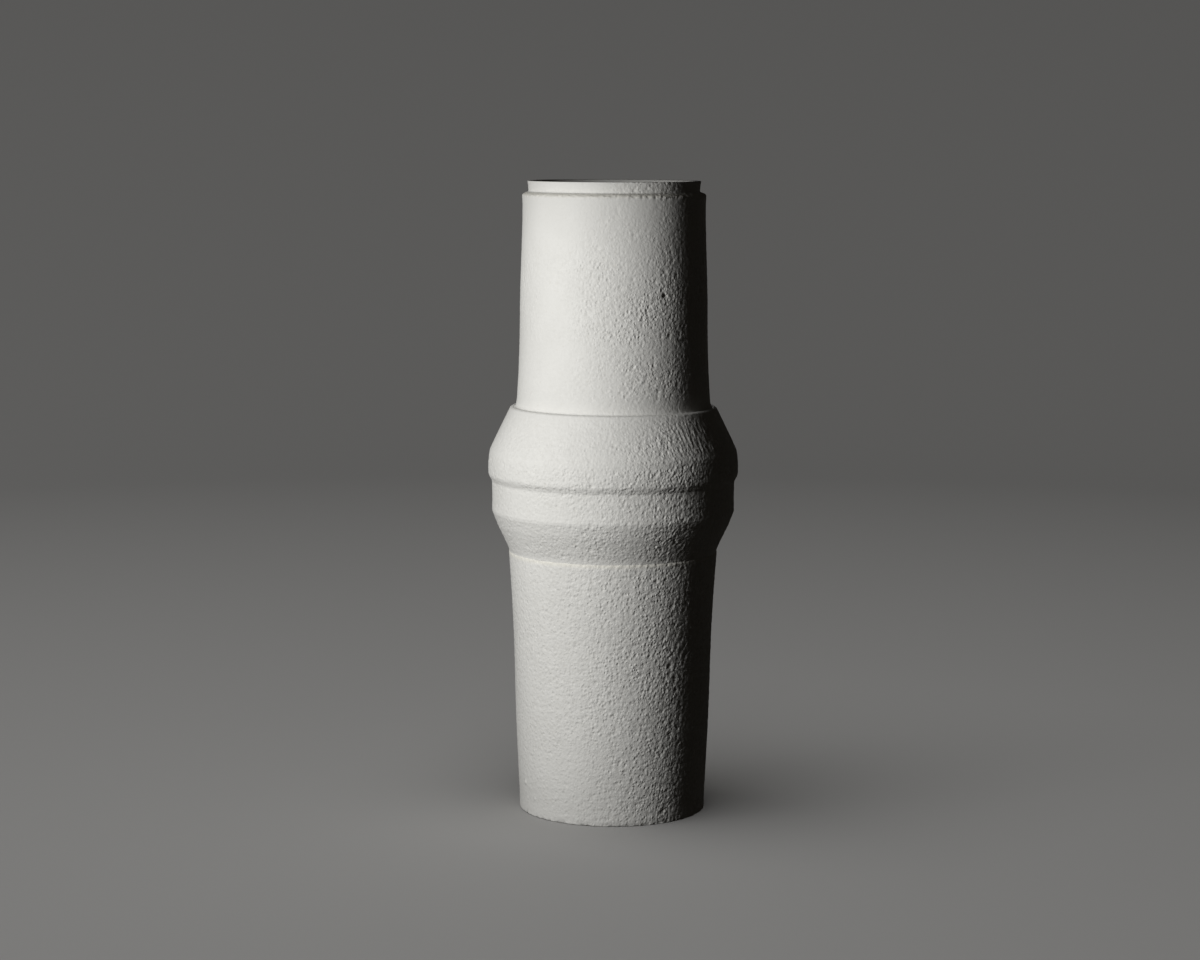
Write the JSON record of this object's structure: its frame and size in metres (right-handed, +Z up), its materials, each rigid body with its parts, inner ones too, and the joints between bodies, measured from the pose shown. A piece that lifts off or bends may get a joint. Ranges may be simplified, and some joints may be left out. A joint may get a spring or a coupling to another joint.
{
  "type": "cylinder vase",
  "caption": "Tall cylinder vase in matte white grogged stoneware, built of stacked rings with a wide stepped belly at mid-height, a straight neck and a thin rim collar.",
  "frame": {"origin": "middle of the foot, on the plane that the vase stands on", "axes": "+Z up along the vase's axis of revolution, towards its mouth; the shape is round, so +X and +Y are any two directions across it, and the picture looks along +Y"},
  "size_m": [0.119, 0.119, 0.3],
  "materials": {
    "grogged_stoneware": "matte unglazed white stoneware, coarse with grog: bumps and pits of 2 to 3 mm, faint turning lines",
    "seam_clay": "the same matte white clay, smoothed by a finger along the seams inside"
  },
  "bodies": {
    "root": {"lower_cylinder": "grogged_stoneware", "floor_disc": "grogged_stoneware", "lower_belly_ring": "grogged_stoneware", "upper_belly_ring": "grogged_stoneware", "neck_cylinder": "grogged_stoneware", "rim_collar": "grogged_stoneware", "floor_seam_coil": "seam_clay", "body_seam_coil": "seam_clay", "belly_seam_coil": "seam_clay", "neck_seam_coil": "seam_clay"}
  },
  "joints": []
}
